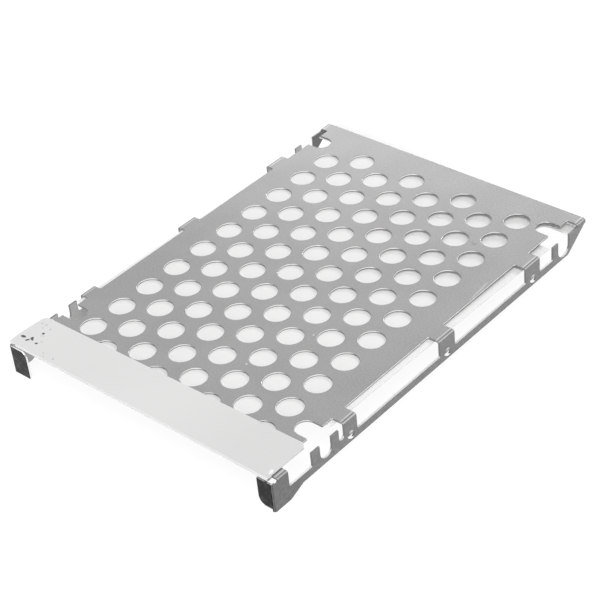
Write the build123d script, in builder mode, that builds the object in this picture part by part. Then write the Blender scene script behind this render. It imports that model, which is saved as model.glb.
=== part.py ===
from build123d import *

import os
from math import cos, radians, sqrt, tan

# A laptop hard drive caddy: one bracket folded from perforated sheet steel, and the white
# insulating film that lies under its plate and is turned over its front edge.
# Millimetres. X runs across the drive, Y from the front end tabs to the rear edge and Z up.
# The origin is under the middle of the part, level with the feet of the two front corners.

# Sheet and folds
sheet = 0.4
fold_inner = 0.2
corner_radius = 0.4

# The drive and its side screws
bay_width = 69.85
stop_gap = 0.3
screw_setback = 14.0
screw_pitch = 76.6
rear_land = 8.3

# Side flanges, heights counted from the feet or from the rail's lower edge
rail_depth = 5.5
rail_height = 1.75
foot_drop = 1.5
foot_length = 4.4
foot_slope = 3.6
slant_length = 6.4
slant_height = 4.75
slope_radius = 1.2

# Screw slots and the fingers beside them
front_slot_width = 3.3
front_slot_land = 1.2
rear_slot_width = 4.0
rear_slot_shift = 0.25
rear_slot_land = 0.5
front_finger = 2.3
slot_finger = 2.05
spring_slot_width = 1.55
spring_slot_land = 2.1
rear_finger = 1.95

# Tabs that join the flanges to the plate
rear_corner_tab = 2.8
rear_tab = 4.95
rear_gap = 4.75
middle_tab = 4.8
middle_tab_shift = 0.7
front_tab = 3.7
front_corner_tab = 2.7
relief_width = 0.9
relief_depth = 0.85
relief_inset = 1.5
corner_leg = 0.15

# Plate cut-outs, punched a little off centre before the folding
punch_shift_x = -0.35
recess = 2.5
lobe_width = 4.3
lobe_reach = 6.75
front_lobe_shift = 0.35
rear_lobe_shift = 0.9

# Round dimples pressed outwards
dimple_diameter = 2.0
dimple_rise = 0.4
dimple_height = 1.5

# Perforation
hole_diameter = 5.55
hole_pitch = 8.1
side_web = 4.9
end_web = 6.0
perforation_shift_x = -0.5
perforation_shift_y = 0.53

# End tabs at the front corners
end_tab_drop = 0.35
right_tab_width = 3.8
right_tab_raise = 0.6
right_tab_radius = 1.8
left_tab_width = 4.95
left_tab_raise = 0.1
left_tab_radius = 1.4
left_tab_foot_radius = 0.4

# Insulating film
film_sheet = 0.12
film_side_gap = 0.9
film_skew = 0.8
film_tail = 2.2
film_tail_taper = 1.0
film_front_gap = 0.3
film_turn_leg = 0.6
film_notch_reach = 7.2
film_notch_radius = 2.0
film_notch_front = 7.4
film_notch_rear = 6.5
film_notch_rear_shift = -0.45
strip_width_left = 9.8
strip_width_right = 10.9
strip_bulge = 0.6
strip_bulge_setback = 3.3
strip_front_overhang = 0.3
strip_rear_overhang = 0.15
strip_flap = 0.5
strip_rear_radius = 1.2
strip_front_radius = 0.5
strip_chamfer = 1.1

# Places along Y, from the front face backwards
fold_outer = fold_inner + sheet
half_width = bay_width / 2 + sheet
bracket_length = sheet + stop_gap + screw_setback + screw_pitch + rear_land
front_face = -(bracket_length + film_tail) / 2
rear_edge = front_face + bracket_length
plate_front = front_face + sheet + film_front_gap
front_screw = front_face + sheet + stop_gap + screw_setback
rear_screw = front_screw + screw_pitch
relief_front = front_face + fold_outer + corner_leg
relief_rear = relief_front + relief_width
front_corner_tab_rear = relief_rear + front_corner_tab
front_finger_front = front_screw - front_slot_width / 2 - front_finger
spring_slot_front = front_screw + front_slot_width / 2 + slot_finger
front_tab_front = spring_slot_front + spring_slot_width
front_tab_rear = front_tab_front + front_tab
rear_slot = rear_screw + rear_slot_shift
rear_finger_front = rear_slot - rear_slot_width / 2 - rear_finger
rear_tab_rear = rear_finger_front - rear_gap
rear_tab_front = rear_tab_rear - rear_tab
middle_tab_centre = (front_tab_rear + rear_tab_front) / 2 + middle_tab_shift
middle_tab_front = middle_tab_centre - middle_tab / 2
middle_tab_rear = middle_tab_centre + middle_tab / 2
rear_corner_tab_front = rear_edge - rear_corner_tab

# Heights and the lines that the cut-outs share
rail_bottom = foot_drop
rail_top = rail_bottom + rail_height
plate_top = rail_bottom + rail_depth
plate_bottom = plate_top - sheet
slot_top = plate_top - (sheet + fold_outer) / 2
end_tab_top = plate_top - end_tab_drop
recess_x = half_width - recess
relief_x = half_width - relief_inset
overshoot = 2.0

# Bracket. The right half comes first: a strip folded down at its edge, cut out and mirrored.
with BuildPart() as bracket:
    with BuildSketch(Plane.XZ.offset(-rear_edge)) as folded_section:
        with BuildLine():
            FilletPolyline((0, plate_top), (half_width, plate_top), (half_width, 0), radius=fold_outer)
            offset(amount=-sheet, side=Side.RIGHT)
        make_face()
    extrude(amount=rear_edge - plate_front)

    # Corner of the plate that the end tab stands clear of
    with BuildSketch(Plane.XY.offset(plate_top)) as corner_cut:
        with Locations((relief_x, plate_front - overshoot)):
            Rectangle(relief_inset + overshoot, relief_rear - plate_front + overshoot, align=Align.MIN)
    extrude(amount=-fold_outer, mode=Mode.SUBTRACT)

    # Windows in the flange, above the rail
    with BuildSketch(Plane.YZ.offset(recess_x)) as side_windows:
        window_spans = [
            (front_corner_tab_rear, front_finger_front),
            (front_tab_rear, middle_tab_front),
            (middle_tab_rear, rear_tab_front),
            (rear_tab_rear, rear_finger_front),
        ]
        for span_front, span_rear in window_spans:
            with Locations((span_front, rail_top)):
                Rectangle(span_rear - span_front, slot_top - rail_top, align=Align.MIN)
        fillet(side_windows.vertices().group_by(Axis.Y)[0], corner_radius)
    extrude(amount=recess + overshoot, mode=Mode.SUBTRACT)

    # Round-bottomed slots in the flange: one at each screw, and one that frees the finger behind
    with BuildSketch(Plane.YZ.offset(recess_x)) as side_slots:
        round_slots = [
            (front_screw, front_slot_width, rail_bottom + front_slot_land),
            (rear_slot, rear_slot_width, rail_bottom + rear_slot_land),
            (spring_slot_front + spring_slot_width / 2, spring_slot_width, rail_bottom + spring_slot_land),
        ]
        for slot_centre, slot_width, slot_bottom in round_slots:
            with Locations((slot_centre, slot_bottom + slot_width / 2)):
                Circle(slot_width / 2)
                Rectangle(
                    slot_width,
                    slot_top - slot_bottom - slot_width / 2,
                    align=(Align.CENTER, Align.MIN),
                )
    extrude(amount=recess + overshoot, mode=Mode.SUBTRACT)

    # Relief at the front corner, where the two folds meet
    with BuildSketch(Plane.YZ.offset(relief_x)) as relief:
        with Locations(((relief_front + relief_rear) / 2, plate_top - relief_depth + relief_width / 2)):
            Circle(relief_width / 2)
            Rectangle(relief_width, relief_depth, align=(Align.CENTER, Align.MIN))
    extrude(amount=relief_inset + overshoot, mode=Mode.SUBTRACT)

    # Lower outline: deep foot at the front, straight rail, slanted rear corner
    with BuildSketch(Plane.YZ.offset(recess_x)) as lower_outline:
        with BuildLine():
            Polyline(
                (front_face - overshoot, -overshoot),
                (front_face - overshoot, 0),
                (front_face + foot_length, 0),
                (front_face + foot_length + foot_slope, rail_bottom),
                (rear_edge - slant_length, rail_bottom),
                (rear_edge, rail_bottom + slant_height),
                (rear_edge + overshoot, rail_bottom + slant_height),
                (rear_edge + overshoot, -overshoot),
                close=True,
            )
        make_face()
        fillet(
            lower_outline.vertices()
            .filter_by_position(Axis.Y, -sheet, rail_bottom + sheet)
            .filter_by_position(Axis.X, front_face, rear_edge),
            slope_radius,
        )
    extrude(amount=recess + overshoot, mode=Mode.SUBTRACT)

    # Dimples at the three tabs, pressed outwards and so hollow on the drive's side
    dome_outer = (dimple_diameter**2 / 4 + dimple_rise**2) / (2 * dimple_rise)
    dome_inner = dome_outer - sheet
    hollow_radius = sqrt(dome_inner**2 - (dome_outer - dimple_rise - sheet) ** 2)
    dimple_z = rail_bottom + dimple_height
    dimple_centres = [
        (front_tab_front + front_tab_rear) / 2,
        middle_tab_centre,
        (rear_tab_front + rear_tab_rear) / 2,
    ]
    with BuildSketch(Plane.YZ.offset(recess_x)) as dimple_blanks:
        for dimple_y in dimple_centres:
            with Locations((dimple_y, dimple_z)):
                Circle(dimple_diameter / 2)
    extrude(amount=recess + overshoot, mode=Mode.SUBTRACT)
    for dimple_y in dimple_centres:
        with BuildSketch(Plane.XY.offset(dimple_z)) as dimple_section:
            with BuildLine():
                Polyline(
                    (half_width + dimple_rise - sheet, dimple_y),
                    (half_width + dimple_rise, dimple_y),
                )
                RadiusArc(
                    (half_width + dimple_rise, dimple_y),
                    (half_width, dimple_y + dimple_diameter / 2),
                    -dome_outer,
                )
                Polyline(
                    (half_width, dimple_y + dimple_diameter / 2),
                    (half_width - sheet, dimple_y + dimple_diameter / 2),
                    (half_width - sheet, dimple_y + hollow_radius),
                )
                RadiusArc(
                    (half_width - sheet, dimple_y + hollow_radius),
                    (half_width + dimple_rise - sheet, dimple_y),
                    dome_inner,
                )
            make_face()
        revolve(axis=Axis((half_width, dimple_y, dimple_z), (1, 0, 0)))

    # Upright fold at the front corner, from the flange round to the end tab
    with BuildSketch() as corner_section:
        with BuildLine():
            corner_arc = JernArc((half_width - fold_outer, front_face), (1, 0), fold_outer, 90)
            Line(corner_arc @ 1, (half_width, relief_front))
            offset(amount=sheet, side=Side.LEFT)
        make_face()
    extrude(amount=end_tab_top)

    mirror(about=Plane.YZ)

    # Cut-outs seen from above: the recessed edges between the tabs, and the lobes at the screws
    with BuildSketch(Plane.XY.offset(plate_top)) as plan_cuts:
        recessed_spans = [
            (front_corner_tab_rear, front_tab_front),
            (front_tab_rear, middle_tab_front),
            (middle_tab_rear, rear_tab_front),
            (rear_tab_rear, rear_corner_tab_front),
        ]
        for span_front, span_rear in recessed_spans:
            with Locations((recess_x + punch_shift_x, span_front)):
                Rectangle(recess + overshoot, span_rear - span_front, align=Align.MIN)
            with Locations((punch_shift_x - recess_x, span_front)):
                Rectangle(recess + overshoot, span_rear - span_front, align=(Align.MAX, Align.MIN))
        for inner_corners in plan_cuts.vertices().group_by(Axis.X)[1:3]:
            fillet(inner_corners, corner_radius)
        for side in (-1, 1):
            with Locations((side * half_width + punch_shift_x, front_screw + front_lobe_shift)):
                SlotOverall(2 * lobe_reach, lobe_width)
            with Locations((side * half_width + punch_shift_x, rear_screw + rear_lobe_shift)):
                SlotOverall(2 * lobe_reach, lobe_width)
    extrude(amount=-fold_outer, mode=Mode.SUBTRACT)

    # End tabs, which differ: the right one is short with a rounded lower corner
    with BuildSketch(Plane.XZ.offset(-front_face)) as right_end_tab:
        with Locations((half_width - fold_outer, end_tab_top)):
            Rectangle(
                right_tab_width - fold_outer,
                end_tab_top - right_tab_raise,
                align=Align.MAX,
            )
        fillet(right_end_tab.vertices().group_by(Axis.X)[0].sort_by(Axis.Y)[0], right_tab_radius)
    extrude(amount=-sheet)
    with BuildSketch(Plane.XZ.offset(-front_face)) as left_end_tab:
        with Locations((fold_outer - half_width, left_tab_raise)):
            Rectangle(
                left_tab_width - fold_outer,
                end_tab_top - left_tab_raise,
                align=Align.MIN,
            )
        fillet(left_end_tab.vertices().group_by(Axis.X)[-1].sort_by(Axis.Y)[-1], left_tab_radius)
        fillet(left_end_tab.vertices().group_by(Axis.X)[-1].sort_by(Axis.Y)[0], left_tab_foot_radius)
    extrude(amount=-sheet)

    # Perforation: staggered round holes, as many as the plate has room for
    column_step = hole_pitch * cos(radians(30))
    room_across = 2 * (recess_x - side_web) - hole_diameter
    room_along = rear_edge - plate_front - 2 * end_web - hole_diameter
    column_pairs = int((room_across / column_step + 1) / 2)
    long_rows = int(room_along / hole_pitch) + 1
    perforation_y = (front_face + rear_edge) / 2 + perforation_shift_y
    with BuildSketch(Plane.XY.offset(plate_top)) as perforation:
        with Locations((perforation_shift_x - column_step / 2, perforation_y)):
            with GridLocations(2 * column_step, hole_pitch, column_pairs, long_rows - 1):
                Circle(hole_diameter / 2)
        with Locations((perforation_shift_x + column_step / 2, perforation_y)):
            with GridLocations(2 * column_step, hole_pitch, column_pairs, long_rows):
                Circle(hole_diameter / 2)
    extrude(amount=-sheet, mode=Mode.SUBTRACT)

# Insulating film: a sheet under the plate, turned over its front edge into a strip on top
film_half_width = half_width - sheet - film_side_gap
film_slope = tan(radians(film_skew))
with BuildPart() as insulating_film:
    with BuildSketch(Plane.XY.offset(plate_bottom)) as under_sheet:
        with BuildLine():
            Polyline(
                (-film_half_width + film_slope * plate_front, plate_front),
                (film_half_width + film_slope * plate_front, plate_front),
                (film_half_width + film_slope * rear_edge, rear_edge + film_tail - film_tail_taper),
                (-film_half_width + film_slope * rear_edge, rear_edge + film_tail),
                close=True,
            )
        make_face()
        for side in (-1, 1):
            with Locations((side * half_width, front_screw)):
                RectangleRounded(
                    2 * film_notch_reach, film_notch_front, film_notch_radius, mode=Mode.SUBTRACT
                )
            with Locations((side * half_width, rear_screw + film_notch_rear_shift)):
                RectangleRounded(
                    2 * film_notch_reach, film_notch_rear, film_notch_radius, mode=Mode.SUBTRACT
                )
    extrude(amount=-film_sheet)

    with BuildSketch(Plane.YZ.offset(-relief_x)) as front_turn:
        with BuildLine():
            Polyline(
                (plate_front + film_turn_leg, plate_bottom),
                (plate_front, plate_bottom),
                (plate_front, plate_top),
                (plate_front + film_turn_leg, plate_top),
            )
            offset(amount=film_sheet, side=Side.LEFT)
        make_face()
    extrude(amount=2 * relief_x)

    with BuildSketch(Plane.XY.offset(plate_top)) as top_strip:
        with BuildLine():
            strip_left_end = ThreePointArc(
                (-half_width - strip_rear_overhang, plate_front + strip_width_left),
                (-half_width - strip_bulge, plate_front + strip_bulge_setback),
                (-half_width - strip_front_overhang, plate_front - strip_flap),
            )
            Polyline(
                strip_left_end @ 1,
                (-relief_x, plate_front),
                (relief_x, plate_front),
                (relief_x, plate_front + strip_width_right),
                strip_left_end @ 0,
            )
        make_face()
        fillet(top_strip.vertices().sort_by(Axis.X)[:2].sort_by(Axis.Y)[-1], strip_rear_radius)
        fillet(top_strip.vertices().sort_by(Axis.Y)[0], strip_front_radius)
        chamfer(top_strip.vertices().group_by(Axis.X)[-1].sort_by(Axis.Y)[-1], strip_chamfer)
    extrude(amount=film_sheet)

os.makedirs("parts", exist_ok=True)
bracket.part.label = "bracket"
insulating_film.part.label = "insulating_film"
export_step(bracket.part, "parts/bracket.step")
export_step(insulating_film.part, "parts/insulating_film.step")
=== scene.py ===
import math

import bmesh
import bpy
from bpy.props import FloatProperty, FloatVectorProperty, PointerProperty
from bpy.types import Operator, Panel, PropertyGroup
from mathutils import Euler, Matrix, Vector


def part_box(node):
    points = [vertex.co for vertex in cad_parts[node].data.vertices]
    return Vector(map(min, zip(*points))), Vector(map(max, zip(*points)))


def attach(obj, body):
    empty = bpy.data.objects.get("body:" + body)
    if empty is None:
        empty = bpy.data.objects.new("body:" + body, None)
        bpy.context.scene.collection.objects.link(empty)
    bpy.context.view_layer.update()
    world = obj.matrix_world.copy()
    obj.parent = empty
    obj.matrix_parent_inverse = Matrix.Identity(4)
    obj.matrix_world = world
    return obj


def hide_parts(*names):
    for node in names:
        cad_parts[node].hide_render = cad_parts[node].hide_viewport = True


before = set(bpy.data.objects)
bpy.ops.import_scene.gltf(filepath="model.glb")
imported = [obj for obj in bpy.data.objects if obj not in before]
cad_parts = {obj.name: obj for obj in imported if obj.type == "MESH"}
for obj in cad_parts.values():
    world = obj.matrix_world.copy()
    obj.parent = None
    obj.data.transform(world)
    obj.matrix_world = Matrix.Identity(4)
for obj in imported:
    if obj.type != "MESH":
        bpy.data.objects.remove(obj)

bl_info = {
    "name": "Drive Caddy Looks",
    "version": (1, 0, 0),
    "blender": (4, 5, 0),
    "location": "3D View > Sidebar > Drive Caddy",
    "description": "Finishes a perforated steel drive caddy and lays its white insulating film",
    "category": "Object",
}

MM = 0.001
NUDGE = 1e-6

# Places on the CAD model
BRACKET_LOW, BRACKET_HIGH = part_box("bracket")
FILM_LOW, FILM_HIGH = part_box("insulating_film")
DIMPLE_RISE = 0.4 * MM
DIMPLE_HEIGHT = 3.0 * MM
DIMPLES = (-29.1 * MM, 0.575 * MM, 29.475 * MM)
PLATE_TOP = BRACKET_HIGH.z
SIDE = BRACKET_HIGH.x - DIMPLE_RISE
FRONT = BRACKET_LOW.y
FOOT_LENGTH = 5 * MM
FOOT_REAR = FRONT + FOOT_LENGTH
FOLD = 0.6 * MM
FOLD_LINE = SIDE - FOLD - PLATE_TOP
CORNER_LINE = SIDE - FOLD + FRONT


# Sizes and colours that can be changed in the sidebar
def length_property(name, description, default_mm):
    return FloatProperty(
        name=name,
        description=description,
        default=default_mm * MM,
        precision=5,
        subtype="DISTANCE",
        unit="LENGTH",
    )


def share_property(name, description, default):
    return FloatProperty(
        name=name, description=description, default=default, min=0.0, max=1.0, subtype="FACTOR"
    )


def colour_property(name, description, default):
    return FloatVectorProperty(
        name=name, description=description, default=default, min=0.0, max=1.0, size=3, subtype="COLOR"
    )


def power_property(name, description, default):
    return FloatProperty(name=name, description=description, default=default, min=0.0, unit="POWER")


class CaddySteel(PropertyGroup):
    """Finish of the folded sheet"""

    colour: colour_property("Sheet colour", "Grey of the rolled sheet", (0.35, 0.35, 0.347))
    edge_colour: colour_property("Edge colour", "Darker grey of the holes' walls", (0.27, 0.27, 0.268))
    # The end tabs' near black is painted shade
    tab_shade_colour: colour_property("End tab colour", "Near black of the end tabs", (0.013, 0.013, 0.013))
    # The lighter underside and inner faces are painted light
    inner_light_colour: colour_property(
        "Inner colour", "Lighter grey of the underside and of the flanges' inner faces", (0.62, 0.62, 0.612)
    )
    # Bare metal of nicks and cut edges, and painted highlights on rims, rail tops and dimples
    bare_and_highlight_colour: colour_property("Bare metal colour", "Rims, gleams and cut edges", (0.93, 0.93, 0.92))
    metal: share_property("Metal", "How far the sheet mirrors what is round it", 0.35)
    roughness: share_property("Roughness", "Roughness of the satin finish", 0.23)
    specular: share_property("Specular", "Strength of the thin gloss on the grey", 0.3)
    mottle: length_property("Mottle size", "Grain of the satin finish", 0.35)
    edge_round: length_property("Edge rounding", "Radius that the punched edges seem to have", 0.2)


class CaddyFilm(PropertyGroup):
    """Shape and finish of the insulating film"""

    sheet: length_property("Thickness", "Thickness of the film", 0.12)
    plate_sheet: length_property("Plate thickness", "Thickness of the plate it is turned round", 0.4)
    front: length_property("Front", "Where the plate's front edge lies along Y", -50.2)
    half_width: length_property("Half width", "Half the width of the sheet under the plate", 34.025)
    skew: FloatProperty(
        name="Skew",
        description="How far the sheet is turned in the bracket",
        default=math.radians(0.8),
        subtype="ANGLE",
        unit="ROTATION",
    )
    notch_inner: length_property("Notch depth", "Where the side notches end along X", 28.125)
    notch_radius: length_property("Notch radius", "Radius of the notches' corners", 2.0)
    strip_right: length_property("Strip end", "Where the strip on top ends along X", 33.825)
    strip_width_left: length_property("Strip width left", "Width of the strip at its left end", 9.8)
    strip_width_right: length_property("Strip width right", "Width of the strip at its right end", 10.9)
    strip_flap: length_property("Strip flap", "How far the strip's free left end reaches in front", 0.5)
    strip_rear_corner: length_property("Rear corner", "Radius of the strip's rear left corner", 1.2)
    strip_front_corner: length_property("Front corner", "Radius of the strip's front left corner", 0.5)
    turn_leg: length_property("Turn", "How far the turn reaches under the plate at its right end", 0.6)
    strip_chamfer: length_property("Strip chamfer", "Cut at the strip's rear right corner", 1.1)
    sag: length_property("Sag", "How far the sheet hangs from the plate at the rear right", 0.75)
    tail_droop: length_property("Tail droop", "How much further its free rear edge hangs", 0.7)
    colour: colour_property("Film colour", "White of the sheet", (0.785, 0.785, 0.778))
    strip_colour: colour_property("Strip colour", "White of the strip on top", (0.68, 0.68, 0.674))
    roughness: share_property("Roughness", "Roughness of the film", 0.48)
    specular: share_property("Specular", "Strength of the film's gloss", 0.35)
    # The glow is emission, painted light standing in for light through the thin film
    glow: share_property("Glow", "Light that comes through the thin film", 0.07)


class CaddyStage(PropertyGroup):
    """Floor, lamps and camera"""

    floor_size: length_property("Floor size", "Width of the square floor", 4000.0)
    key_power: power_property("Key power", "Power of the lamp behind", 2.4)
    panel_power: power_property("Panel power", "Power of the wide panel behind", 1.2)
    front_power: power_property("Front power", "Power of the low front lamp", 2.5)
    top_power: power_property("Top power", "Power of the panel above", 4.6)
    side_power: power_property("Side power", "Power of the low panel on the right", 1.1)
    surround: share_property("Surround", "Level of the light from all round", 0.25)
    overhead: share_property("Overhead", "Further light from straight above", 0.2)


# Colours
def rgba(colour):
    return (*colour, 1.0)


def grey(level):
    return (level, level, level, 1.0)


BLACK = grey(0.0)
WHITE = grey(1.0)

# The noise seldom leaves this range
NOISE_RANGE = (0.3, 0.7)

# Tones are stored in a colour ramp as shares of this
BRIGHTEST = 2.0


# Small helpers for node trees
class NodeSheet:
    """Adds nodes to one material or world and joins them."""

    def __init__(self, owner):
        owner.use_nodes = True
        self.tree = owner.node_tree
        self.tree.nodes.clear()

    def add(self, kind, *values, settings=None, **inputs):
        """New node; values fill its inputs in order, and inputs by name with _ for a space."""
        made = self.tree.nodes.new(kind)
        for name, value in (settings or {}).items():
            setattr(made, name, value)
        for index, value in enumerate(values):
            self.plug(made, index, value)
        for name, value in inputs.items():
            self.plug(made, name.replace("_", " "), value)
        return made

    def plug(self, made, socket, value):
        """Joins another node's output to an input, or sets the input's own value."""
        target = made.inputs[socket]
        if isinstance(value, bpy.types.NodeSocket):
            self.tree.links.new(value, target)
        else:
            target.default_value = value

    def maths(self, operation, *values, clamp=False):
        settings = {"operation": operation, "use_clamp": clamp}
        return self.add("ShaderNodeMath", *values, settings=settings).outputs[0]

    def chain(self, operation, first, others):
        """One value from several, with the same operation on each in turn."""
        for other in others:
            first = self.maths(operation, first, other)
        return first

    def product(self, first, *others):
        return self.chain("MULTIPLY", first, others)

    def total(self, first, *others):
        return self.chain("ADD", first, others)

    def highest(self, first, *others):
        return self.chain("MAXIMUM", first, others)

    def absolute(self, value):
        return self.maths("ABSOLUTE", value)

    def opposite(self, mask):
        return self.maths("SUBTRACT", 1.0, mask)

    def split(self, vector):
        """The vector's parts along X, Y and Z."""
        return tuple(self.add("ShaderNodeSeparateXYZ", vector).outputs)

    def dot(self, first, second):
        settings = {"operation": "DOT_PRODUCT"}
        return self.add("ShaderNodeVectorMath", first, second, settings=settings).outputs["Value"]

    def ramp(self, value, low, high, start, end):
        """Start up to low, end from high, and a smooth change between."""
        settings = {"interpolation_type": "SMOOTHSTEP"}
        limits = {"From_Min": low, "From_Max": high, "To_Min": start, "To_Max": end}
        return self.add("ShaderNodeMapRange", settings=settings, Value=value, **limits).outputs[0]

    def rise(self, value, low, high, strength=1.0):
        return self.ramp(value, low, high, 0.0, strength)

    def fall(self, value, low, high, strength=1.0):
        return self.ramp(value, low, high, strength, 0.0)

    def rise_near(self, value, place, low_mm, high_mm, strength=1.0):
        """Rises between two distances past a place."""
        return self.rise(value, place + low_mm * MM, place + high_mm * MM, strength)

    def fall_near(self, value, place, low_mm, high_mm, strength=1.0):
        """Falls between two distances past a place."""
        return self.fall(value, place + low_mm * MM, place + high_mm * MM, strength)

    def noise(self, place, grain, detail, roughness):
        """Noise with grains of that size."""
        made = self.add(
            "ShaderNodeTexNoise", Vector=place, Scale=1 / grain, Detail=detail, Roughness=roughness
        )
        return made.outputs["Fac"]

    def swing(self, noise, low, high):
        """The noise, spread from low to high."""
        return self.ramp(noise, *NOISE_RANGE, low, high)

    def profile(self, value, stops):
        """Tone that follows the value through the stops, each a distance in mm and a tone."""
        first, last = stops[0][0], stops[-1][0]
        share = self.add("ShaderNodeMapRange", Value=value, From_Min=first * MM, From_Max=last * MM)
        made = self.add("ShaderNodeValToRGB", share.outputs[0])
        marks = made.color_ramp.elements
        while len(marks) < len(stops):
            marks.new(0.5)
        for mark, (place, tone) in zip(marks, stops):
            mark.position = (place - first) / (last - first)
            mark.color = grey(tone / BRIGHTEST)
        return self.product(made.outputs[0], BRIGHTEST)

    def kept_to(self, mask, tone):
        """The tone where the mask is 1, and 1 where it is 0."""
        return self.maths("MULTIPLY_ADD", self.maths("SUBTRACT", tone, 1.0), mask, 1.0)

    def mix(self, share, first, second):
        """Mix of two colours; a colour mix has its factor on socket 0 and its colours on 6 and 7."""
        made = self.add("ShaderNodeMix", share, settings={"data_type": "RGBA"})
        self.plug(made, 6, first)
        self.plug(made, 7, second)
        return made.outputs[2]

    def paint(self, colour, *layers):
        """The colour under further layers, each a mask and a colour, with the last on top."""
        for mask, over in layers:
            colour = self.mix(mask, colour, over)
        return colour

    def toned(self, colour, tone):
        made = self.add("ShaderNodeVectorMath", colour, settings={"operation": "SCALE"}, Scale=tone)
        return made.outputs[0]

    def spot(self, place, centre, size, turn=0.0, soft=0.2):
        """Mask of one oval mark: 1 inside, 0 outside, and soft as a share of its size."""
        shifted = self.add(
            "ShaderNodeMapping",
            settings={"vector_type": "TEXTURE"},
            Vector=place,
            Location=(centre[0] * MM, centre[1] * MM, 0),
            Rotation=(0, 0, turn),
            Scale=(size[0] * MM, size[1] * MM, 1),
        )
        reach = self.add("ShaderNodeVectorMath", shifted.outputs[0], settings={"operation": "LENGTH"})
        return self.fall(reach.outputs["Value"], 1 - soft, 1 + soft)

    def marks(self, place, rows):
        """Strongest of several oval marks, each a centre and a size in mm, a turn and a strength."""
        spots = [
            self.product(self.spot(place, centre, size, turn), strength)
            for centre, size, turn, strength in rows
        ]
        return self.highest(*spots)


class Surface:
    """Where each point of a piece lies, and the parts of its face's outward direction."""

    def __init__(self, sheet):
        self.place = sheet.add("ShaderNodeTexCoord").outputs["Object"]
        self.facing = sheet.add("ShaderNodeNewGeometry").outputs["Normal"]
        self.x, self.y, self.z = sheet.split(self.place)
        self.facing_x, self.facing_y, self.facing_z = sheet.split(self.facing)


# Painted highlights and shade across a fold, by the distance past its start, with the flange darker as
# painted shade
FOLD_LIGHT_AND_SHADE = (
    (-0.5, 1.0),
    (-0.38, 1.1),
    (-0.26, 1.9),
    (-0.14, 1.3),
    (0.08, 0.75),
    (0.3, 0.62),
    (0.4, 1.3),
    (0.52, 2.0),
    (0.64, 1.5),
    (0.8, 0.7),
    (1.0, 0.68),
    (1.15, 0.79),
)

# Painted shade round the upright front corners, by the distance past the end tab's face
CORNER_SHADE_TONES = ((0.0, 0.9), (0.2, 0.95), (0.45, 0.9), (0.58, 0.5), (0.72, 0.55), (0.85, 1.0), (1.2, 1.0))

# Wear on the plate's top: centre and size in mm, turn and strength
SMUDGES = (
    ((21.46, 28.28), (0.55, 0.28), 0.5, 0.28),
    ((20.6, 28.6), (0.45, 0.16), 0.3, 0.18),
    ((-1.0, 42.66), (0.35, 0.3), 0.0, 0.15),
    ((-26.57, -7.62), (0.1, 0.5), 0.0, 0.2),
)
NICKS = (
    ((31.9, 15.8), (0.25, 3.4), 0.08, 0.18),
    ((8.72, -28.25), (0.22, 0.16), 0.3, 0.7),
    ((13.6, -13.97), (0.2, 0.16), 0.0, 0.6),
    ((34.14, -21.14), (0.16, 0.4), 0.0, 0.6),
)

# Painted shade and painted highlights on a dimple, in mm from its centre: place along Y and up, size, turn
# and strength
DIMPLE_PAINTED_SHADE = (
    ((-0.05, 0.08), (0.34, 0.2), 0.3, 0.8),
    ((0.62, 0.0), (0.24, 0.5), 0.1, 0.8),
    ((-0.2, -0.82), (0.6, 0.22), -0.4, 0.8),
)
DIMPLE_PAINTED_HIGHLIGHTS = (
    ((-0.42, -0.3), (0.62, 0.34), -0.4, 1.0),
    ((-0.55, 0.2), (0.55, 0.15), 0.45, 1.0),
)

# The bracket's looks change between two distances, all of them in mm

# Distances past the plate's top
HOLE_WALL = (-0.45, -0.38)
HOLE_RIM_HIGHLIGHT = (-0.26, -0.2)

# Distances above the floor
RAIL_TOP = (5.3, 5.6)

# Distances past the flanges' outer faces
PLATE_END = (-1.1, -1.0)
TAB_CORNER = (-0.7, -0.65)
FLANGE_INSIDE = (-0.6, -0.5)
FLANGE_SHEET = (-0.5, -0.42)

# Distances past the start of a fold
FLANGE_START = (0.8, 1.0)

# Distances behind the bracket's front
TAB_FACE = (0.02, 0.1)
TAB_SHEET = (0.42, 0.46)
CORNER_DEPTH = (0.7, 0.8)

# Distances behind the front foot
FOOT_FADE = (0.0, 7.0)
STRIP_SIDE = (0.0, 0.5)

# Distances past the strip's right end
STRIP_COVER = (-0.5, -0.4)
STRIP_SHADOW = (0.15, 0.35)

# Distances behind the bracket's middle
PALE_REAR = (5.0, 32.0)
DARK_REAR = (41.0, 43.0)

# Limits of masks by one part of a face's outward direction, which is 1 where it looks straight that way
UPRIGHT = (0.25, 0.6)
LEANS_RIGHT = (-0.05, 0.5)
LEANS_OUT = (0.05, 0.3)
LEANS_OUT_OR_UP = (0.3, 0.6)
LEANS_UP = (0.3, 0.6)
LEANS_ALONG = (0.2, 0.4)
FACES_IN = (-0.9, -0.6)
FACES_OUT = (0.5, 0.9)
FACES_ALONG = (0.5, 0.8)
FACES_FORWARD = (-0.95, -0.6)
FACES_DOWN = (-0.9, -0.6)
FACES_UP = (0.6, 0.9)
LIES_FLAT = (0.8, 0.95)
RAIL_UP = (0.4, 0.7)
ROUNDED = (0.75, 0.98)

# Strengths of the painted shade, of the lighter rear and of the scuffs
OUTLINE_SHADE = 0.75
STRIP_SHADE = 0.75
FOOT_SHADE = 0.24
REAR_SHADE = 0.85
REAR_SHADE_GREY = grey(0.12)
REAR_LIFT = 0.02
SCUFF_GAIN = 5
SCUFF_RANGE = (0.45, 0.75)

# Noise of the steel: grain, detail and roughness
FINE_NOISE = (3.0, 0.6)
BROAD_NOISE = (9 * MM, 2.0, 0.5)
BLOTCHES = (0.9 * MM, 3.0, 0.7)
SCUFFS = (1.1 * MM, 3.0, 0.65)
FINE_SWING = 0.09
BROAD_SWING = 0.03
BLOTCH_SWING = 0.09

# How far the roughness swings down and up, and the height and strength of the bump
STEEL_ROUGH = (-0.02, 0.03)
STEEL_BUMP = 0.02 * MM
STEEL_BUMP_STRENGTH = 0.08
EDGE_SAMPLES = 8


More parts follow.
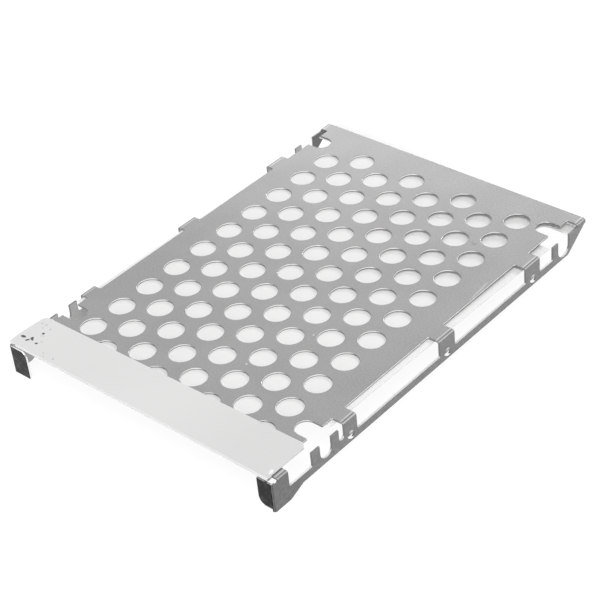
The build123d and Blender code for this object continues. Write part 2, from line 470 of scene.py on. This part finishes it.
# Satin steel
class BracketSurface(Surface):
    """The bracket's surface, with the masks that its looks share."""

    def __init__(self, sheet):
        super().__init__(sheet)
        self.across = sheet.absolute(self.x)
        self.outward = sheet.maths("DIVIDE", sheet.product(self.facing_x, self.x), SIDE)
        self.upright = sheet.fall(sheet.absolute(self.facing_z), *UPRIGHT)
        self.outer = sheet.rise(sheet.total(self.outward, self.facing_z), *LEANS_OUT_OR_UP)
        self.at_flange = sheet.rise_near(self.across, SIDE, *FLANGE_SHEET)


def hole_walls(sheet, at):
    """Masks of the punched holes' walls, and of the painted highlights on the rims of those that face
    right.
    """
    walls = sheet.product(
        at.upright,
        sheet.rise_near(at.z, PLATE_TOP, *HOLE_WALL),
        sheet.fall_near(at.across, SIDE, *PLATE_END),
    )
    # Painted highlights on the rims that face right
    rim_highlights = sheet.product(
        sheet.rise_near(at.z, PLATE_TOP, *HOLE_RIM_HIGHLIGHT), sheet.rise(at.facing_x, *LEANS_RIGHT), walls
    )
    return walls, rim_highlights


def flange_layers(sheet, at, look, near_edge, rounded_up):
    """Layers of the flanges: painted light inside, and painted shade at the rear inside, at the front foot
    and along their edges, with the window sides in the edge grey.
    """
    # Painted light on the flanges' inner faces
    inside_light = sheet.product(
        sheet.fall(at.outward, *FACES_IN), sheet.rise_near(at.across, SIDE, *FLANGE_INSIDE)
    )
    # Painted shade at the rear inside, at the front foot and along the edges
    rear_inside_shade = sheet.product(inside_light, sheet.rise_near(at.y, 0.0, *DARK_REAR, REAR_SHADE))
    foot = sheet.product(
        sheet.rise(at.outward, *FACES_OUT), sheet.fall_near(at.y, FOOT_REAR, *FOOT_FADE, FOOT_SHADE)
    )
    outline_shade = sheet.product(near_edge, sheet.fall(rounded_up, *LEANS_UP, OUTLINE_SHADE))
    along = sheet.rise(sheet.absolute(at.facing_y), *FACES_ALONG)
    window_sides = sheet.product(along, at.upright, at.at_flange)
    return (
        (inside_light, rgba(look.inner_light_colour)),
        (rear_inside_shade, REAR_SHADE_GREY),
        (foot, BLACK),
        (outline_shade, BLACK),
        (window_sides, rgba(look.edge_colour)),
    )


def fold_light_and_shade(sheet, at):
    """Tone of the outer faces: painted highlights as two bright lines with a painted dark line between, and
    the flange below darker as painted shade, lighter towards the rear and with blotches.
    """
    past_fold = sheet.maths("SUBTRACT", sheet.maths("SUBTRACT", at.across, at.z), FOLD_LINE)
    on_flange = sheet.rise_near(past_fold, 0.0, *FLANGE_START)
    rear_lift = sheet.rise_near(at.y, 0.0, *PALE_REAR, REAR_LIFT)
    blotches = sheet.swing(sheet.noise(at.place, *BLOTCHES), -BLOTCH_SWING, BLOTCH_SWING)
    tone = sheet.total(
        sheet.profile(past_fold, FOLD_LIGHT_AND_SHADE),
        sheet.product(rear_lift, on_flange),
        sheet.product(blotches, on_flange),
    )
    return sheet.kept_to(at.outer, tone)


def corner_shade(sheet, at):
    """Tone of the upright front corners: a thin dark line of painted shade along the bend."""
    past_tab = sheet.maths("SUBTRACT", sheet.total(at.across, at.y), CORNER_LINE)
    at_corner = sheet.product(sheet.fall_near(at.y, FRONT, *CORNER_DEPTH), at.upright, at.outer)
    return sheet.kept_to(at_corner, sheet.profile(past_tab, CORNER_SHADE_TONES))


def strip_shadow(sheet, at, strip_end):
    """Mask of the dark line on the plate beside the strip's right end."""
    return sheet.product(
        sheet.fall_near(at.x, strip_end, *STRIP_SHADOW, STRIP_SHADE),
        sheet.rise_near(at.x, strip_end, *STRIP_COVER),
        sheet.fall_near(at.y, FOOT_REAR, *STRIP_SIDE),
        sheet.rise(at.facing_z, *FACES_UP),
    )


def dimple_light_and_shade(sheet, at):
    """Masks of the painted shade on the dimples' flanks and of the painted white highlights on them."""
    along = sheet.maths("SUBTRACT", at.y, DIMPLES[0])
    for before, after in zip(DIMPLES, DIMPLES[1:]):
        passed = sheet.maths("GREATER_THAN", at.y, (before + after) / 2)
        along = sheet.maths("MULTIPLY_ADD", passed, before - after, along)
    level = sheet.maths("SUBTRACT", at.z, DIMPLE_HEIGHT)
    place = sheet.add("ShaderNodeCombineXYZ", along, level).outputs[0]
    outside = sheet.rise(at.outward, *LEANS_OUT)
    return [sheet.product(sheet.marks(place, rows), outside) for rows in (DIMPLE_PAINTED_SHADE, DIMPLE_PAINTED_HIGHLIGHTS)]


def end_tabs(sheet, at, look):
    """Mask and colour of the end tabs' fronts, near black as painted shade with real scuffs, and mask of
    the left one's cut edges, bare metal with a painted highlight.
    """
    fronts = sheet.product(
        sheet.fall_near(at.y, FRONT, *TAB_FACE), sheet.fall(at.facing_y, *FACES_FORWARD)
    )
    scuffs = sheet.rise(sheet.noise(at.place, *SCUFFS), *SCUFF_RANGE)
    shade_and_scuffs = sheet.mix(
        scuffs, rgba(look.tab_shade_colour), rgba([SCUFF_GAIN * part for part in look.tab_shade_colour])
    )
    # The left tab's cut edges, bare metal with a painted highlight
    cut_edges = sheet.product(
        sheet.fall_near(at.y, FRONT, *TAB_SHEET),
        sheet.fall(sheet.absolute(at.facing_y), *LEANS_ALONG),
        sheet.fall_near(at.across, SIDE, *TAB_CORNER),
        sheet.maths("LESS_THAN", at.x, 0.0),
    )
    return fronts, shade_and_scuffs, cut_edges


def satin_steel(look, strip_end):
    """Rolled sheet with a fine mottle, painted highlights and shade along its folds, painted highlights on
    its rims and dimples, and end tabs painted near black as shade.
    """
    material = bpy.data.materials.new("satin_steel")
    sheet = NodeSheet(material)
    at = BracketSurface(sheet)
    fine = sheet.noise(at.place, look.mottle, *FINE_NOISE)
    broad = sheet.noise(at.place, *BROAD_NOISE)
    mottle = sheet.total(
        sheet.swing(fine, -FINE_SWING, FINE_SWING), sheet.swing(broad, -BROAD_SWING, BROAD_SWING), 1.0
    )
    edges = sheet.add("ShaderNodeBevel", look.edge_round, settings={"samples": EDGE_SAMPLES}).outputs[0]
    near_edge = sheet.fall(sheet.dot(edges, at.facing), *ROUNDED)
    rounded_up = sheet.split(edges)[2]

    walls, rim_highlights = hole_walls(sheet, at)
    shades, gleams = dimple_light_and_shade(sheet, at)
    fronts, shade_and_scuffs, cut_edges = end_tabs(sheet, at, look)
    flat = sheet.rise(at.facing_z, *LIES_FLAT)
    bare_and_highlight = rgba(look.bare_and_highlight_colour)
    colour = sheet.paint(
        rgba(look.colour),
        (walls, rgba(look.edge_colour)),
        *flange_layers(sheet, at, look, near_edge, rounded_up),
        # Painted light on the underside
        (sheet.fall(at.facing_z, *FACES_DOWN), rgba(look.inner_light_colour)),
        (strip_shadow(sheet, at, strip_end), BLACK),
        # Painted shade on the dimples
        (shades, BLACK),
        (sheet.product(sheet.marks(at.place, SMUDGES), flat), BLACK),
        (sheet.product(sheet.marks(at.place, NICKS), flat), bare_and_highlight),
        # Painted shade: the end tabs' fronts near black, with real scuffs
        (fronts, shade_and_scuffs),
    )
    # Painted highlights and shade along the folds and round the front corners, over the mottle
    colour = sheet.toned(colour, sheet.product(mottle, fold_light_and_shade(sheet, at), corner_shade(sheet, at)))

    # Painted highlights in the bare metal colour: the rims, the rails' upper edges and the gleams, and the
    # left tab's cut edges, which are bare metal with a painted highlight
    rail_top_highlights = sheet.product(
        sheet.rise(at.facing_z, *RAIL_UP), at.at_flange, sheet.fall_near(at.z, 0.0, *RAIL_TOP)
    )
    gleams_and_cut_edges = sheet.highest(cut_edges, gleams)
    colour = sheet.paint(colour, (sheet.highest(gleams_and_cut_edges, rail_top_highlights, rim_highlights), bare_and_highlight))
    metal = sheet.product(sheet.highest(gleams_and_cut_edges, fronts, look.metal), sheet.opposite(rail_top_highlights))
    bump = sheet.add(
        "ShaderNodeBump", Strength=STEEL_BUMP_STRENGTH, Distance=STEEL_BUMP, Height=fine, Normal=edges
    )
    shader = sheet.add(
        "ShaderNodeBsdfPrincipled",
        Base_Color=colour,
        Metallic=metal,
        Roughness=sheet.swing(fine, *(look.roughness + change for change in STEEL_ROUGH)),
        Normal=bump.outputs[0],
        Specular_IOR_Level=look.specular,
    )
    sheet.add("ShaderNodeOutputMaterial", Surface=shader.outputs[0])
    return material


# Dark specks on the strip: centre and size in mm, turn and strength
SPECKS = (
    ((-34.45, -47.53), (0.62, 0.34), 0.1, 1.0),
    ((-32.92, -47.85), (0.5, 0.24), 0.9, 1.0),
    ((-32.5, -46.95), (0.32, 0.42), 0.3, 1.0),
    ((-32.2, -47.2), (0.42, 0.22), -0.5, 1.0),
    ((-31.71, -44.6), (0.3, 0.3), 0.0, 1.0),
    ((-30.53, -47.61), (0.34, 0.26), 0.4, 1.0),
    ((-31.29, -45.25), (0.5, 0.3), 0.4, 0.12),
    ((-34.37, -42.42), (0.22, 0.22), 0.0, 0.3),
    ((-33.3, -42.29), (0.3, 0.18), 0.6, 0.3),
    ((-33.16, -43.39), (0.2, 0.18), 0.0, 0.25),
    ((-31.46, -42.89), (0.24, 0.2), 0.0, 0.35),
    ((-30.04, -46.65), (0.24, 0.24), 0.0, 0.22),
    ((-24.03, -49.12), (0.24, 0.24), 0.0, 0.3),
    ((-27.01, -48.89), (0.22, 0.22), 0.0, 0.2),
    ((-26.22, -49.6), (0.2, 0.2), 0.0, 0.2),
)

# Painted shade of creases in the sheet under the plate
CREASE_SHADES = (
    ((8.73, 32.84), (1.4, 0.13), -0.16, 0.14),
    ((8.2, 24.86), (0.9, 0.12), -0.26, 0.1),
    ((-3.75, 25.39), (1.3, 0.13), 0.12, 0.1),
)

# Painted highlight at the strip's right front corner: centre and size in mm, turn and softness
STRIP_HIGHLIGHT = ((33.1, -48.55), (0.3, 0.6), 0.2, 0.6)

# The film's looks change between two distances in mm, to a strength: past the plate's top, the middle,
# the plate's front edge and the bracket's rear end
ON_TOP = (-0.2, 0.0)
RIGHT_END = (0.0, 32.0, 0.07)
# Painted light on the turned lip and on the tail past the plate's rear
LIP_LIGHT = (-0.05, 0.05, 0.4)
TAIL_LIGHT = (0.0, 0.3, 0.5)

# Limits of the mask of painted light on its upright cut sides, by the part along Z of their outward
# direction
CUT_SIDE_LIGHT = (0.3, 0.6)

# Noise of the film: grain, detail and roughness
CLOUDS = (14 * MM, 2.0, 0.5)
GRAIN = (0.5 * MM, 2.0, 0.6)
CLOUD_SWING = 0.012
GRAIN_SWING = 0.006
DIRT_AND_CREASE_SHADE_GREY = grey(0.012)

# How far the roughness swings down and up, and the height and strength of the bump
FILM_ROUGH = (-0.03, 0.03)
FILM_BUMP = 0.05 * MM
FILM_BUMP_STRENGTH = 0.06


# White film
def white_film(look):
    """Satin white film with dark specks at the strip's left end, faint painted shade of creases under the
    plate, painted light on its lip, cut sides and tail, a painted highlight at the strip's right front
    corner and a faint emitted glow.
    """
    material = bpy.data.materials.new("white_film")
    sheet = NodeSheet(material)
    at = Surface(sheet)
    clouds = sheet.noise(at.place, *CLOUDS)
    grain = sheet.noise(at.place, *GRAIN)
    mottle = sheet.total(
        sheet.swing(clouds, -CLOUD_SWING, CLOUD_SWING), sheet.swing(grain, -GRAIN_SWING, GRAIN_SWING), 1.0
    )
    on_top = sheet.rise_near(at.z, PLATE_TOP, *ON_TOP)
    below = sheet.opposite(on_top)
    specks = sheet.product(sheet.marks(at.place, SPECKS), on_top)
    crease_shades = sheet.product(sheet.marks(at.place, CREASE_SHADES), below)
    lit_cut_side = sheet.fall(sheet.absolute(at.facing_z), *CUT_SIDE_LIGHT)
    colour = sheet.paint(
        rgba(look.colour),
        (on_top, rgba(look.strip_colour)),
        # Painted highlight at the strip's right front corner
        (sheet.product(sheet.spot(at.place, *STRIP_HIGHLIGHT), on_top), WHITE),
        (sheet.product(sheet.rise_near(at.x, 0.0, *RIGHT_END), on_top), BLACK),
        # Painted light on the lip, the cut sides and the tail
        (sheet.fall_near(at.y, look.front, *LIP_LIGHT), WHITE),
        (sheet.product(lit_cut_side, below), WHITE),
        (sheet.rise_near(at.y, BRACKET_HIGH.y, *TAIL_LIGHT), WHITE),
        # Real dirt specks, and painted shade of creases
        (sheet.highest(specks, crease_shades), DIRT_AND_CREASE_SHADE_GREY),
    )
    bump = sheet.add("ShaderNodeBump", Strength=FILM_BUMP_STRENGTH, Distance=FILM_BUMP, Height=grain)
    shader = sheet.add(
        "ShaderNodeBsdfPrincipled",
        Base_Color=sheet.toned(colour, mottle),
        Roughness=sheet.swing(grain, *(look.roughness + change for change in FILM_ROUGH)),
        Normal=bump.outputs[0],
        Specular_IOR_Level=look.specular,
        # Emission: a painted glow
        Emission_Color=WHITE,
        Emission_Strength=look.glow,
    )
    sheet.add("ShaderNodeOutputMaterial", Surface=shader.outputs[0])
    return material


# Film: the side notches along Y, and the strip's bowed left end
NOTCHES = ((-39.9 * MM, -32.5 * MM), (36.7 * MM, 43.2 * MM))
FRONT_INSET = 0.3 * MM
REAR_INSET = 0.45 * MM
BOW_REACH = 0.04 * MM
BOW_LIMIT = 0.02 * MM
BOW_RADIUS = 1.8 * MM

# Its mesh: columns, rows behind the front edge, and steps round the turn and the corners
COLUMNS = 28
FRONT_ROWS = (0.1 * MM, 0.9 * MM)
ROW = 2.5 * MM
ROWS = 40
TURN_STEPS = 8
TURN_DEPTH = 0.55
NOTCH_STEPS = 6
REAR_CORNER_STEPS = 5
FRONT_CORNER_STEPS = 4
CHAMFER_STEPS = 1
BOW_STEPS = 6
SHARP_ANGLE = math.radians(35)

# The turn's bulge over the right end tab: start and length of its rise along X and upwards, in mm
BULGE = 1.9
BULGE_ACROSS = (28.0, 2.0)
BULGE_UP = (6.6, 0.3)

# Sag: start and length of each rise in mm
SAG_RIGHT = (-20.0, 45.0)
SAG_REAR = (-20.0, 75.0)
DROOP_REAR = (40.0, 12.0)
DROOP_RIGHT = (-26.0, 24.0)


# Shape of the film
def eased(value, start_mm, length_mm):
    """0 up to the start, and a smooth rise to 1 over the length."""
    share = min(1.0, max(0.0, (value - start_mm * MM) / (length_mm * MM)))
    return share * share * (3 - 2 * share)


def polygon(bm, points, height):
    """One flat face through the points, at that height."""
    corners = [bm.verts.new((x, y, height)) for x, y in points]
    edges = [bm.edges.new(pair) for pair in zip(corners, corners[1:] + corners[:1])]
    bmesh.ops.contextual_create(bm, geom=edges)
    return corners


def round_corners(bm, corners, radius, segments):
    bmesh.ops.bevel(
        bm,
        geom=corners,
        offset=radius,
        offset_type="OFFSET",
        segments=segments,
        profile=0.5,
        affect="VERTICES",
        material=-1,
        clamp_overlap=False,
    )


def slice_along(bm, axis, places):
    """Cuts every face at the given places along one axis."""
    way = Matrix.Identity(3)[axis]
    for place in places:
        bmesh.ops.bisect_plane(
            bm, geom=[*bm.verts, *bm.edges, *bm.faces], dist=NUDGE, plane_co=way * place, plane_no=way
        )


def sheet_outline(look):
    """Corners of the sheet under the plate, from the left front one to the right and round."""
    slope = math.tan(look.skew)
    leg = look.front + look.turn_leg
    tail_left = FILM_HIGH.y
    tail_right = tail_left - slope * 2 * BRACKET_HIGH.x

    def side(sign, y):
        return sign * look.half_width + slope * y

    def notch(sign, first, last):
        inner = sign * look.notch_inner
        return [(side(sign, first), first), (inner, first), (inner, last), (side(sign, last), last)]

    points = [(side(-1, look.front), look.front)]
    points += [(-look.strip_right, look.front), (look.strip_right, look.front)]
    points += [(look.strip_right, leg), (side(1, leg), leg)]
    for first, last in NOTCHES:
        points += notch(1, first, last)
    points += [(side(1, BRACKET_HIGH.y), tail_right), (side(-1, BRACKET_HIGH.y), tail_left)]
    for first, last in reversed(NOTCHES):
        points += notch(-1, last, first)
    return points


def strip_outline(look):
    """Corners of the strip on top, from the left front one to the right and round to its bow,
    which is widest a third of the way along the left end."""
    left = FILM_LOW.x
    return [
        (left + FRONT_INSET, look.front - look.strip_flap),
        (-look.strip_right, look.front),
        (look.strip_right, look.front),
        (look.strip_right, look.front + look.strip_width_right),
        (left + REAR_INSET, look.front + look.strip_width_left),
        (left - BOW_REACH, look.front + look.strip_width_left / 3),
    ]


def turn_front_edge(bm, look, low, high):
    """Turns the strip's front edge round the plate's edge and joins it to the sheet below."""

    def on_front_edge(v):
        at_edge = abs(v.co.y - look.front) < NUDGE
        return v.co.z > PLATE_TOP and at_edge and abs(v.co.x) < look.strip_right + NUDGE

    front_edges = [e for e in bm.edges if all(on_front_edge(v) for v in e.verts)]
    front_corners = dict.fromkeys(v for e in front_edges for v in e.verts)
    before = set(bm.verts)
    bmesh.ops.spin(
        bm,
        geom=[*front_corners, *front_edges],
        cent=(0, look.front, (low + high) / 2),
        axis=(1, 0, 0),
        dvec=(0, 0, 0),
        angle=math.pi,
        steps=TURN_STEPS,
        use_merge=False,
        use_normal_flip=False,
        use_duplicate=False,
    )
    turned = [v for v in bm.verts if v not in before]
    space = Matrix.Translation((0, -look.front, 0))
    bmesh.ops.scale(bm, vec=(1, TURN_DEPTH, 1), space=space, verts=turned)
    bmesh.ops.remove_doubles(bm, verts=bm.verts, dist=2 * NUDGE)


def sag(x, y, look):
    """How far the sheet hangs under the plate at one place."""
    hang = look.sag * eased(x, *SAG_RIGHT) * eased(y, *SAG_REAR)
    return hang + look.tail_droop * eased(y, *DROOP_REAR) * eased(x, *DROOP_RIGHT)


def make_film(look):
    """The sheet under the plate, its turn over the front edge and the strip on top, in one piece."""
    low = PLATE_TOP - look.plate_sheet - look.sheet
    high = PLATE_TOP + look.sheet
    bm = bmesh.new()

    corners = polygon(bm, sheet_outline(look), low)
    inner = [v for v in corners if abs(abs(v.co.x) - look.notch_inner) < NUDGE]
    round_corners(bm, inner, look.notch_radius, NOTCH_STEPS)

    front_left, *_, rear_left, _ = polygon(bm, strip_outline(look), high)
    round_corners(bm, [rear_left], look.strip_rear_corner, REAR_CORNER_STEPS)
    round_corners(bm, [front_left], look.strip_front_corner, FRONT_CORNER_STEPS)
    rear = look.front + look.strip_width_right - NUDGE
    far_right = [v for v in bm.verts if v.co.z > PLATE_TOP and v.co.y > rear]
    round_corners(bm, far_right, look.strip_chamfer, CHAMFER_STEPS)
    left = FILM_LOW.x + BOW_LIMIT
    bow = [v for v in bm.verts if v.co.z > PLATE_TOP and v.co.x < left]
    round_corners(bm, bow, BOW_RADIUS, BOW_STEPS)
    bmesh.ops.triangulate(bm, faces=bm.faces, quad_method="BEAUTY", ngon_method="EAR_CLIP")

    column = 2 * look.strip_right / COLUMNS
    slice_along(bm, 0, [-look.strip_right + column * i for i in range(1, COLUMNS)])
    slice_along(bm, 1, [look.front + row for row in FRONT_ROWS])
    slice_along(bm, 1, [look.front + ROW * i for i in range(1, ROWS + 1)])
    turn_front_edge(bm, look, low, high)
    for v in bm.verts:
        over_tab = eased(v.co.x, *BULGE_ACROSS) * eased(v.co.z, *BULGE_UP)
        v.co.y += min(0.0, v.co.y - look.front) * BULGE * over_tab
        if v.co.z < low + NUDGE:
            v.co.z -= sag(v.co.x, v.co.y, look)
    bmesh.ops.recalc_face_normals(bm, faces=bm.faces)
    bmesh.ops.solidify(bm, geom=[*bm.verts, *bm.edges, *bm.faces], thickness=look.sheet)

    mesh = bpy.data.meshes.new("insulating_film_sheet")
    bm.to_mesh(mesh)
    bm.free()
    mesh.shade_smooth()
    mesh.set_sharp_from_angle(angle=SHARP_ANGLE)
    film = bpy.data.objects.new("insulating_film_sheet", mesh)
    bpy.context.scene.collection.objects.link(film)
    return film


# Lamps: name, azimuth from +X towards +Y and elevation in degrees, width and height in metres, and power
LAMPS = (
    ("key_lamp", 103, 29, 0.14, 0.14, "key_power"),
    ("back_panel", 121, 22.5, 0.56, 0.32, "panel_power"),
    ("front_lamp", -90, 14, 0.8, 0.3, "front_power"),
    ("top_panel", -45, 65, 0.6, 0.6, "top_power"),
    ("side_panel", 18, 5, 1.0, 0.1, "side_power"),
)

# Camera at the photograph's viewing angle: lens and sensor width in mm, place in mm and turn in degrees
LENS = 105.577
SENSOR_WIDTH = 36.0
CAMERA_PLACE = (203.359, -209.397, 218.907)
CAMERA_TURN = (53.13397, 5.03714, 40.78583)
CLIP_RANGE = (0.01, 10.0)

# Floor: grey that the light on the object meets, and share of shadow and of white where it is seen
FLOOR_GREY = grey(0.5)
FLOOR_SHADE = grey(0.13)
FLOOR_GLOW = 0.92


# Floor, lamps and camera
def soft_lamp(name, azimuth, elevation, width, height, power):
    """Lamp aimed at the origin from a metre away."""
    light = bpy.data.lights.new(name, "AREA")
    light.shape = "RECTANGLE"
    light.size = width
    light.size_y = height
    light.energy = power
    lamp = bpy.data.objects.new(name, light)
    lamp.location = Vector((
        math.cos(elevation) * math.cos(azimuth),
        math.cos(elevation) * math.sin(azimuth),
        math.sin(elevation),
    ))
    lamp.rotation_euler = (-lamp.location).to_track_quat("-Z", "Y").to_euler()
    bpy.context.scene.collection.objects.link(lamp)


def seen_directly(sheet):
    """1 for camera, glossy and transmission rays, 0 for the rest."""
    rays = sheet.add("ShaderNodeLightPath").outputs
    some = sheet.total(rays["Is Camera Ray"], rays["Is Glossy Ray"])
    return sheet.maths("ADD", some, rays["Is Transmission Ray"], clamp=True)


def pale_floor():
    """Nearly white with soft shadows where it is seen, and plain grey for other light."""
    material = bpy.data.materials.new("pale_floor")
    sheet = NodeSheet(material)
    dull = sheet.add("ShaderNodeBsdfDiffuse", Color=FLOOR_GREY).outputs[0]
    shade = sheet.add("ShaderNodeBsdfDiffuse", Color=FLOOR_SHADE).outputs[0]
    glow = sheet.add("ShaderNodeEmission", Color=WHITE, Strength=FLOOR_GLOW).outputs[0]
    bright = sheet.add("ShaderNodeAddShader", shade, glow).outputs[0]
    choice = sheet.add("ShaderNodeMixShader", seen_directly(sheet), dull, bright)
    sheet.add("ShaderNodeOutputMaterial", Surface=choice.outputs[0])
    return material


def white_surround(level, overhead):
    """White where it is seen, and for the rest a soft sky that is brighter above."""
    world = bpy.data.worlds.new("white_surround")
    sheet = NodeSheet(world)
    upward = sheet.split(sheet.add("ShaderNodeTexCoord").outputs["Generated"])[2]
    sky = sheet.maths("MULTIPLY_ADD", sheet.highest(upward, 0.0), overhead, level)
    seen = seen_directly(sheet)
    strength = sheet.total(sheet.product(sky, sheet.opposite(seen)), seen)
    background = sheet.add("ShaderNodeBackground", Color=WHITE, Strength=strength)
    sheet.add("ShaderNodeOutputWorld", Surface=background.outputs[0])
    bpy.context.scene.world = world


def photo_camera():
    view = bpy.data.cameras.new("photo_camera")
    view.lens = LENS
    view.sensor_width = SENSOR_WIDTH
    view.clip_start, view.clip_end = CLIP_RANGE
    camera = bpy.data.objects.new("photo_camera", view)
    camera.location = Vector(CAMERA_PLACE) * MM
    camera.rotation_euler = Euler(map(math.radians, CAMERA_TURN), "XYZ")
    bpy.context.scene.collection.objects.link(camera)
    bpy.context.scene.camera = camera


# Operators
class CADDY_OT_finish_bracket(Operator):
    """Gives the folded bracket its satin steel"""

    bl_idname = "caddy.finish_bracket"
    bl_label = "Finish the bracket"

    def execute(self, context):
        scene = context.scene
        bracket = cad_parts["bracket"]
        steel = satin_steel(scene.caddy_steel, scene.caddy_film.strip_right)
        if not bracket.material_slots:
            bracket.data.materials.append(steel)
        for slot in bracket.material_slots:
            slot.material = steel
        return {"FINISHED"}


class CADDY_OT_make_film(Operator):
    """Makes the white film in place of its plain solid"""

    bl_idname = "caddy.make_film"
    bl_label = "Make the film"

    def execute(self, context):
        look = context.scene.caddy_film
        film = make_film(look)
        film.data.materials.append(white_film(look))
        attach(film, "root")
        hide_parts("insulating_film")
        return {"FINISHED"}


class CADDY_OT_set_stage(Operator):
    """Sets the pale floor, the lamps and the camera"""

    bl_idname = "caddy.set_stage"
    bl_label = "Set the stage"

    def execute(self, context):
        scene = context.scene
        look = scene.caddy_stage
        bm = bmesh.new()
        bmesh.ops.create_grid(bm, x_segments=1, y_segments=1, size=look.floor_size / 2)
        mesh = bpy.data.meshes.new("floor")
        bm.to_mesh(mesh)
        bm.free()
        mesh.materials.append(pale_floor())
        floor = bpy.data.objects.new("floor", mesh)
        scene.collection.objects.link(floor)
        for name, azimuth, elevation, width, height, power in LAMPS:
            power = getattr(look, power)
            soft_lamp(name, math.radians(azimuth), math.radians(elevation), width, height, power)
        white_surround(look.surround, look.overhead)
        scene.view_settings.view_transform = "Standard"
        photo_camera()
        return {"FINISHED"}


class CADDY_PT_sidebar(Panel):
    """Sizes and steps of the drive caddy"""

    bl_idname = "CADDY_PT_sidebar"
    bl_label = "Drive Caddy"
    bl_space_type = "VIEW_3D"
    bl_region_type = "UI"
    bl_category = "Drive Caddy"

    def draw(self, context):
        steps = (
            ("caddy_steel", CADDY_OT_finish_bracket),
            ("caddy_film", CADDY_OT_make_film),
            ("caddy_stage", CADDY_OT_set_stage),
        )
        for name, step in steps:
            group = getattr(context.scene, name)
            box = self.layout.box()
            for key in group.__annotations__:
                box.prop(group, key)
            box.operator(step.bl_idname)


CLASSES = (
    CaddySteel,
    CaddyFilm,
    CaddyStage,
    CADDY_OT_finish_bracket,
    CADDY_OT_make_film,
    CADDY_OT_set_stage,
    CADDY_PT_sidebar,
)


def register():
    for made in CLASSES:
        bpy.utils.register_class(made)
    bpy.types.Scene.caddy_steel = PointerProperty(type=CaddySteel)
    bpy.types.Scene.caddy_film = PointerProperty(type=CaddyFilm)
    bpy.types.Scene.caddy_stage = PointerProperty(type=CaddyStage)


def unregister():
    del bpy.types.Scene.caddy_stage
    del bpy.types.Scene.caddy_film
    del bpy.types.Scene.caddy_steel
    for made in reversed(CLASSES):
        bpy.utils.unregister_class(made)


def main():
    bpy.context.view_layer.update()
    register()
    bpy.ops.caddy.finish_bracket()
    bpy.ops.caddy.make_film()
    bpy.ops.caddy.set_stage()


if __name__ == "__main__":
    main()
